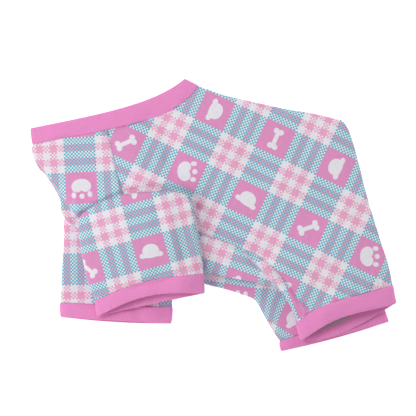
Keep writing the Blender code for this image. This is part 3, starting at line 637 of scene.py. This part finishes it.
def beside(line, spots):
    """Signed distance of plan spots from a line, positive to the right of someone who walks along it."""
    nearest = np.full(len(spots), 9.0)
    side = np.ones(len(spots))
    for start, end in zip(line, line[1:]):
        run = end - start
        away = away_from(start, end, spots)
        distance = np.linalg.norm(away, axis=1)
        closer = distance < nearest
        nearest = np.where(closer, distance, nearest)
        side = np.where(closer, np.sign(run[1] * away[:, 0] - run[0] * away[:, 1]), side)
    return nearest * side


def seam_turns(tube):
    """Turn at which each loop meets the seam, as a table over the tube's length."""
    marks = np.linspace(0.0, 1.0, 121)
    shares = np.linspace(0.02, 0.98, 97)
    grid_marks, grid_shares = (side.ravel() for side in np.meshgrid(marks, shares, indexing="ij"))
    points = tube_spots(tube, grid_marks, np.arccos(1 - 2 * grid_shares))
    crossed = beside(seam_line, points[:, 0:2]).reshape(len(marks), len(shares))
    found = []
    for line in crossed:
        crossing = np.nonzero((line[:-1] < 0) & (line[1:] >= 0))[0]
        if len(crossing):
            k = crossing[0]
            found.append(shares[k] + (shares[k + 1] - shares[k]) * line[k] / (line[k] - line[k + 1]))
        else:
            found.append(np.nan)
    found = np.array(found)
    known = ~np.isnan(found)
    found = np.interp(marks, marks[known], found[known])
    return marks, np.arccos(1 - 2 * found)


torso_seam = seam_turns(torso_tube)
far_leg_seam = seam_turns(far_leg_tube)


def body_relief(points, turns, b):
    """Folds, seam valley and handling marks that are pressed into the upper layer of the body."""
    top = np.clip(np.sin(turns) * 2.2, 0, 1)
    spots = points[:, 0:2]
    from_seam = beside(seam_line, spots)
    rear = np.clip((spots[:, 0] + 0.030) / 0.05, 0, 1)
    valley = -0.0013 * np.exp(-(from_seam / 0.0016) ** 2)
    ridge = (0.0006 + 0.0013 * rear) * np.exp(-((from_seam - 0.0046) / 0.0032) ** 2)
    lower = under_edge(seam_line, spots) * np.exp(-(from_seam / 0.012) ** 2)
    lower *= np.clip((spots[:, 0] + 0.035) / 0.02, 0, 1) * np.clip((0.062 - spots[:, 0]) / 0.02, 0, 1)
    near_cuff = np.clip((b - 0.84) / 0.16, 0, 1) ** 2
    pucker = 0.0007 * near_cuff * np.sin(turns * 34 + 1.3 * np.sin(turns * 7))
    near_neck = np.clip((0.035 - b) / 0.035, 0, 1) ** 2
    tuck = -0.0012 * near_neck
    total = fold_heights(BODY_FOLDS, spots) * FOLD_STRENGTH + valley + ridge + pucker + tuck
    total -= BELLY_DROP * lower
    total -= CHEST_DROP * under_edge(CHEST_EDGE, spots)
    beside_roll = np.exp(-(beside(ROLL_EDGE, spots) / 0.011) ** 2)
    beside_roll *= np.clip((spots[:, 0] - ROLL_START) / 0.02, 0, 1)
    total -= ROLL_DROP * under_edge(ROLL_EDGE, spots) * beside_roll
    total += ripples(points, 0.045, 0.0016, 1.7) + ripples(points, 0.016, 0.0007, 8.3)
    total += ripples(points, 0.007, 0.00022, 4.4)
    # Level at both ends, where the bands are sewn on
    return total * top * np.clip(np.minimum(b, 1 - b) / 0.015, 0, 1)


BACK_TURN, BACK_SQUARE = -25.0, (69.2, 83.0)


def back_panel_shape(a, b):
    end = np.interp(b, *torso_seam)
    turns = np.where(a < 0.3, -end * (1 - a / 0.3), end * (a - 0.3) / 0.7)
    points = tube_spots(torso_tube, b, turns)
    flat = print_spots(laid_flat(torso_tube, b, turns), BACK_TURN, BACK_SQUARE, (0, 0))
    points[:, 2] += body_relief(points, turns, b)
    return points, flat


def back_leg_shape(a, b):
    end = np.interp(b, *far_leg_seam)
    turns = end * (2 * a - 1)
    points = tube_spots(far_leg_tube, b, turns)
    flat = print_spots(laid_flat(far_leg_tube, b, turns), BACK_TURN, BACK_SQUARE, (0, 0))
    return points, flat


# How the print of the belly panel runs. Pulled round a bend, the cloth turns: where each stretch begins
# and has taken over (mm to the right), at what level it is in step, its turn and the middle of a square
Stretch = namedtuple("Stretch", "begins whole level turn square")
NEAR_BELLY_PRINT = (Stretch(0, 0, 0, 3.0, (-143.9, 29.1)), Stretch(-92, -30, -35, -19.0, (28.2, -79.3)))
FAR_BELLY_PRINT = (Stretch(0, 0, 0, -9.4, (27.4, -95.6)), Stretch(44, 84, -98, -30.0, (90.5, -114.5)))
ROLL_TURN, ROLL_SQUARE = 22.0, (103.4, -91.3)
CHEST_SHIFT = (32 * CHECK, 3.3 * CHECK)


def bent_print(flat, stretches, first):
    """Print of a panel that turns from stretch to stretch, joined a whole number of repeats apart."""
    spots = print_spots(flat, stretches[0].turn, stretches[0].square, first)
    shift = np.array([first]) * CHECK * REPEAT
    for before, after in zip(stretches, stretches[1:]):
        join = np.array([[(after.begins + after.whole) / 2000, after.level / 1000]])
        jump = print_spots(join, before.turn, before.square, (0, 0)) + shift
        jump -= print_spots(join, after.turn, after.square, (0, 0))
        shift = np.round(jump / (CHECK * REPEAT)) * CHECK * REPEAT
        own = print_spots(flat, after.turn, after.square, (0, 0)) + shift
        share = np.clip((flat[:, 0] - after.begins / 1000) / ((after.whole - after.begins) / 1000), 0, 1)
        share = smooth(share)[:, None]
        spots = spots * (1 - share) + own * share
    return spots


def belly_panel_shape(a, b):
    end = np.interp(b, *torso_seam)
    turns = end + (2 * math.pi - 2 * end) * a
    points = tube_spots(torso_tube, b, turns)
    upper = np.sin(turns) > 0
    cloth = laid_flat(torso_tube, b, turns)
    flat = bent_print(cloth, NEAR_BELLY_PRINT, (4, 0))
    flat += np.outer(under_edge(CHEST_EDGE, points[:, 0:2]) * upper, CHEST_SHIFT)
    rolled = (1 - under_edge(ROLL_EDGE, points[:, 0:2])) * upper * (points[:, 0] > ROLL_START)
    flat += rolled[:, None] * (print_spots(cloth, ROLL_TURN, ROLL_SQUARE, (2, 0)) - flat)
    points[:, 2] += body_relief(points, turns, b)
    return points, flat


def belly_leg_shape(a, b):
    end = np.interp(b, *far_leg_seam)
    turns = end + (2 * math.pi - 2 * end) * a
    points = tube_spots(far_leg_tube, b, turns)
    points[:, 2] += ripples(points, 0.014, 0.0007, 6.1) * np.clip(np.sin(turns) * 2, 0, 1)
    return points, bent_print(laid_flat(far_leg_tube, b, turns), FAR_BELLY_PRINT, (6, 0))


back_panel = sewn_piece("back_panel_cloth", [(130, 170, back_panel_shape), (48, 60, back_leg_shape)],
                        JERSEY_WALL, [PRINTED, WRONG_SIDE])
belly_panel = sewn_piece("belly_panel_cloth", [(110, 170, belly_panel_shape), (64, 60, belly_leg_shape)],
                         JERSEY_WALL, [PRINTED, WRONG_SIDE])
for piece, node, flat, area in ((back_panel, "back_panel", (0.42, 0.42), 0.116),
                                (belly_panel, "belly_panel", (0.26, 0.40), 0.045)):
    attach(piece, "root")
    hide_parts(node)

# Neck band: a wide folded strip of the pink rib round the neck opening, sewn to both panels with an
# overlocked seam that pulls a narrow dark valley between the rib and the jersey.
NECK_BAND_ROWS = (
    TORSO_ROWS[0],
    Row(-0.058, 0.485, -0.497, 0.288, 0.00, 0.54, 0.044, 0.044, 0.32),
    Row(-0.077, 0.498, -0.499, 0.317, 0.00, 0.52, 0.033, 0.033, 0.35),
)
neck_tube = Tube(NECK_BAND_ROWS, BODY_DEPTH, on_band_floor, 0.0, None)
neck_band = sewn_piece("neck_band_rib", [(200, 36, band_shape(neck_tube, 0.019, 2.0))], 0.0, [RIB])
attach(neck_band, "root")
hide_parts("neck_band")

# Hind cuffs: two narrower folded bands of the same rib at the ends of the hind legs. The near one
# lies on the far one, and its lower layer stands open so that the mouth shows.
NEAR_HIND_CUFF_ROWS = (
    TORSO_ROWS[-1],
    Row(0.496, -0.291, 0.235, -0.429, 1.00, 0.78, -0.026, 0.018, 0.68),
    Row(0.501, -0.324, 0.241, -0.458, 1.00, 0.80, -0.024, 0.033, 0.62),
)
FAR_HIND_CUFF_ROWS = (
    FAR_LEG_ROWS[-1],
    Row(0.476, -0.366, 0.186, -0.485, 0.00, 1.00, 0.000, 0.004, 0.50),
    Row(0.483, -0.394, 0.190, -0.502, 0.00, 1.00, 0.000, 0.007, 0.50),
)


def on_far_leg(chord, at, share, lift):
    return np.full(len(share), LEG_LIFT)


near_hind_tube = Tube(NEAR_HIND_CUFF_ROWS, BODY_DEPTH, on_far_leg, 0.0, None)
far_hind_tube = Tube(FAR_HIND_CUFF_ROWS, FAR_LEG_DEPTH, on_band_floor, 0.0, None)
far_hind_cuff = sewn_piece("hind_cuff_far_rib", [(120, 36, band_shape(far_hind_tube, 0.017, 7.0))],
                           0.0, [RIB])
near_hind_cuff = sewn_piece("hind_cuff_near_rib", [(120, 36, band_shape(near_hind_tube, 0.020, 9.0))],
                            0.0, [RIB])
# The overlocked seam allowance shows as a greyish strip inside the mouth of the near cuff
near_hind_cuff.data.materials.append(WRONG_SIDE_STRIP)
STRIP_LINE = np.array(((0.1000, -0.1335), (0.1200, -0.1225), (0.1500, -0.1095)))
STRIP_HALF_WIDTH = 0.0030
STRIP_TOP = LEG_LIFT + 0.012
cuff_faces = near_hind_cuff.data.polygons
from_strip = beside(STRIP_LINE, np.array([face.center[:2] for face in cuff_faces]))
for face, away in zip(cuff_faces, from_strip):
    if abs(away) < STRIP_HALF_WIDTH and face.normal.z > 0.2 and face.center.z < STRIP_TOP:
        face.material_index = 1
for piece, node, below in ((far_hind_cuff, "hind_cuff_far", "floor"),
                           (near_hind_cuff, "hind_cuff_near", "hind_cuff_far_rib")):
    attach(piece, "root")
    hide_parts(node)

# Near sleeve: the upper front leg, the same printed jersey sewn into a tube. It is draped over the
# chest and the far sleeve, so its rest height is found by feeling for what lies below it.
NEAR_SLEEVE_DEPTH = 0.0165
DRAPE_GAP = 0.0012
DRAPE_SAG = 0.00022
DRAPE_SLOPE = 0.12
DRAPE_SIDES = 16
NEAR_SLEEVE_ROWS = (
    Row(-0.116, 0.088, -0.226, 0.079, 0.00, 0.50, 0.000, 0.000, 0.50),
    Row(-0.073, 0.070, -0.297, 0.048, 0.00, 0.75, 0.000, 0.000, 0.50),
    Row(-0.055, 0.042, -0.341, 0.016, 0.00, 0.90, 0.000, 0.000, 0.50),
    Row(-0.048, 0.005, -0.363, -0.016, 0.00, 1.00, 0.000, 0.000, 0.50),
    Row(-0.040, -0.057, -0.363, -0.079, 0.30, 1.00, -0.004, 0.000, 0.50),
    Row(-0.032, -0.130, -0.355, -0.159, 0.60, 1.00, -0.011, 0.000, 0.50),
    Row(-0.026, -0.185, -0.338, -0.255, 1.00, 0.97, -0.018, -0.004, 0.50),
    Row(-0.025, -0.216, -0.321, -0.313, 1.00, 0.95, -0.023, -0.004, 0.50),
)
NEAR_FRONT_CUFF_ROWS = (
    NEAR_SLEEVE_ROWS[-1],
    Row(-0.024, -0.252, -0.318, -0.342, 1.00, 0.97, -0.029, -0.003, 0.50),
    Row(-0.023, -0.288, -0.314, -0.372, 1.00, 1.00, -0.034, -0.002, 0.50),
)
SLEEVE_FOLDS = (
    Fold(((-27, 17), (-24, 6), (-23, -8), (-21, -28), (-18, -46)), 1.1, 2.2),
    Fold(((-36, 10), (-32, -20), (-28, -56)), -1.5, 7.0),
    Fold(((-52, 12), (-44, -24), (-40, -60)), 1.0, 6.0),
    Fold(((-60, 6), (-56, -30), (-52, -64)), -0.8, 6.0),
    Fold(((-130, -8), (-125, -40), (-117, -62)), -1.1, 8.0),
    Fold(((-100, 14), (-96, -20), (-94, -62)), 0.8, 9.0),
)
# Right of this edge a pleat of the sleeve lies lower, under the fold that runs down from the shoulder
PLEAT_EDGE = np.array(((-9.0, -72.0), (-10.4, -63.2), (-13.2, -47.8), (-15.9, -28.0), (-18.1, -12.6),
                       (-19.2, -0.5), (-20.9, 10.4), (-24.7, 17.6), (-28.0, 24.0))) / 1000
PLEAT_DROP = 0.0036
PLEAT_SHIFT = (-18 * CHECK, 4 * CHECK)
ROOT_ROLL = 0.0022


def draped_table(rows, trees):
    """Rest heights of a tube that bridges over lower pieces, like cloth pulled gently taut."""
    shares = 0.5 - 0.5 * np.cos(np.linspace(0, math.pi, DRAPE_SIDES + 1))
    feelers = [(0.0, 0.0)] + [(reach * math.cos(turn * math.pi / 4), reach * math.sin(turn * math.pi / 4))
                              for reach in (0.004, 0.008, 0.012) for turn in range(8)]
    needs = np.zeros((len(rows), DRAPE_SIDES + 1))
    for i, row in enumerate(rows):
        for j, share in enumerate(shares):
            x = (row.back_x + (row.front_x - row.back_x) * share) * LONG
            y = (row.back_y + (row.front_y - row.back_y) * share) * WIDE
            for step_x, step_y in feelers:
                for tree in trees:
                    hit = tree.ray_cast(Vector((x + step_x, y + step_y, 1.0)), Vector((0, 0, -1)))[0]
                    if hit is not None:
                        needed = hit.z + DRAPE_GAP - DRAPE_SLOPE * math.hypot(step_x, step_y)
                        needs[i, j] = max(needs[i, j], needed)
            needs[i, j] += row.lift * BAND_PROUD
    heights = needs.copy()
    for _ in range(200):
        for i in range(len(rows)):
            for j in range(DRAPE_SIDES + 1):
                around = [heights[k, j] for k in (i - 1, i + 1) if 0 <= k < len(rows)]
                around += [heights[i, k] for k in (j - 1, j + 1) if 0 <= k <= DRAPE_SIDES]
                heights[i, j] = max(needs[i, j], sum(around) / len(around) - DRAPE_SAG)
    return heights


trees_below = []
for piece in (far_sleeve, far_front_cuff, back_panel, belly_panel):
    corners = [vertex.co.copy() for vertex in piece.data.vertices]
    trees_below.append(BVHTree.FromPolygons(corners, [list(face.vertices) for face in piece.data.polygons]))
drape = draped_table(NEAR_SLEEVE_ROWS + NEAR_FRONT_CUFF_ROWS[1:], trees_below)


def on_drape(offset):
    """Rest on the drape table, for a tube whose first row is its row number offset."""
    def rest(chord, at, share, lift):
        rows = through(drape, at + offset)
        column = np.arccos(np.clip(1 - 2 * share, -1, 1)) / math.pi * DRAPE_SIDES
        near = np.clip(column.astype(int), 0, DRAPE_SIDES - 1)
        part = smooth(column - near)
        index = np.arange(len(share))
        return rows[index, near] * (1 - part) + rows[index, near + 1] * part
    return rest


near_sleeve_tube = Tube(NEAR_SLEEVE_ROWS, NEAR_SLEEVE_DEPTH, on_drape(0), 0.0, None)


def near_sleeve_shape(a, b):
    turns = -math.pi / 2 + 2 * math.pi * a
    points = tube_spots(near_sleeve_tube, b, turns)
    flat = print_spots(laid_flat(near_sleeve_tube, b, turns), 15.0, (-67.1, -40.5), (3, 0))
    # Rounded off where the sleeve rolls into the armhole seam
    low = near_sleeve_tube.rest(points[:, 0:2], row_number(NEAR_SLEEVE_ROWS, b),
                                0.5 - 0.5 * np.cos(turns), np.zeros(len(a)))
    closed = np.sqrt(np.clip(1 - (1 - np.clip(b / 0.035, 0, 1)) ** 2, 0, 1))
    top = np.clip(np.sin(turns) * 2.2, 0, 1)
    under_pleat = under_edge(PLEAT_EDGE, points[:, 0:2])
    flat += np.outer(under_pleat * (np.sin(turns) > 0), PLEAT_SHIFT)
    relief = fold_heights(SLEEVE_FOLDS, points[:, 0:2]) - PLEAT_DROP * under_pleat
    near_cuff = np.clip((b - 0.78) / 0.22, 0, 1) ** 2
    relief += ROOT_ROLL * np.exp(-((b - 0.05) / 0.05) ** 2)
    relief += 0.0005 * near_cuff * np.sin(turns * 30 + 1.1 * np.sin(turns * 9))
    relief += ripples(points, 0.030, 0.0014, 2.9) + ripples(points, 0.012, 0.0006, 5.5)
    relief *= top * closed * np.clip((1 - b) / 0.04, 0, 1)
    points[:, 2] = low + (points[:, 2] - low) * closed + relief
    return points, flat


near_sleeve = sewn_piece("sleeve_near_cloth", [(200, 84, near_sleeve_shape)],
                         JERSEY_WALL, [PRINTED, WRONG_SIDE])
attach(near_sleeve, "root")
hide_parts("sleeve_near")

# Near front cuff: the folded rib band of the near sleeve, lying over the end of the far sleeve. Its
# upper layer hangs back from the lower one, so a thin dark crescent shows at the mouth.
near_cuff_tube = Tube(NEAR_FRONT_CUFF_ROWS, NEAR_SLEEVE_DEPTH,
                      on_drape(len(NEAR_SLEEVE_ROWS) - 1), 0.0, None)
near_front_cuff = sewn_piece("front_cuff_near_rib", [(128, 36, band_shape(near_cuff_tube, 0.019, 4.0))],
                             0.0, [RIB])
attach(near_front_cuff, "root")
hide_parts("front_cuff_near")

# Studio: a seamless white table under soft white light from all round, with a soft light above and two
# low ones, left and behind, that model the folds. The camera looks straight down from far above.
floor_mesh = bmesh.new()
bmesh.ops.create_grid(floor_mesh, x_segments=1, y_segments=1, size=3.0)
bmesh.ops.translate(floor_mesh, verts=floor_mesh.verts, vec=(0, 0, -0.0003))
floor_data = bpy.data.meshes.new("floor")
floor_mesh.to_mesh(floor_data)
floor_mesh.free()
floor = bpy.data.objects.new("floor", floor_data)
bpy.context.collection.objects.link(floor)
paper = bpy.data.materials.new("white_backdrop_paper")
paper.use_nodes = True
for setting, value in (("Base Color", linear("#fcfcfc")), ("Roughness", 0.9),
                       ("Emission Color", (1, 1, 1, 1)), ("Emission Strength", 0.62)):
    paper.node_tree.nodes["Principled BSDF"].inputs[setting].default_value = value
floor_data.materials.append(paper)

world = bpy.data.worlds.new("studio")
world.use_nodes = True
world.node_tree.nodes["Background"].inputs["Color"].default_value = (1, 1, 1, 1)
world.node_tree.nodes["Background"].inputs["Strength"].default_value = 0.36
bpy.context.scene.world = world

for name, place, aim, size, power in (("top_light", (-0.55, 0.30, 1.30), (-0.08, 0, 0), 0.4, 5.2),
                                      ("left_light", (-0.95, -0.35, 0.80), (-0.10, 0, 0), 0.6, 4.4),
                                      ("back_light", (0.85, 0.65, 0.75), (0.05, 0, 0), 0.5, 3.4)):
    lamp = bpy.data.lights.new(name, 'AREA')
    lamp.size = size
    lamp.energy = power
    lamp_object = bpy.data.objects.new(name, lamp)
    lamp_object.location = place
    lamp_object.rotation_euler = (Vector(aim) - Vector(place)).to_track_quat('-Z', 'Y').to_euler()
    bpy.context.collection.objects.link(lamp_object)

# Width of one picture point on the garment, and of the picture, whose middle is a few points off the body's
PIXEL = 0.0010986
PICTURE_WIDTH = 416 * PIXEL
camera_data = bpy.data.cameras.new("camera")
camera_data.lens = 250.0
camera_data.sensor_width = 36.0
camera_data.clip_end = 20.0
camera = bpy.data.objects.new("camera", camera_data)
camera_height = 0.015 + PICTURE_WIDTH * camera_data.lens / camera_data.sensor_width
camera.location = (-4.5 * PIXEL, 6.5 * PIXEL, camera_height)
bpy.context.collection.objects.link(camera)
bpy.context.scene.camera = camera
bpy.context.scene.view_settings.view_transform = 'Standard'

bpy.context.view_layer.update()
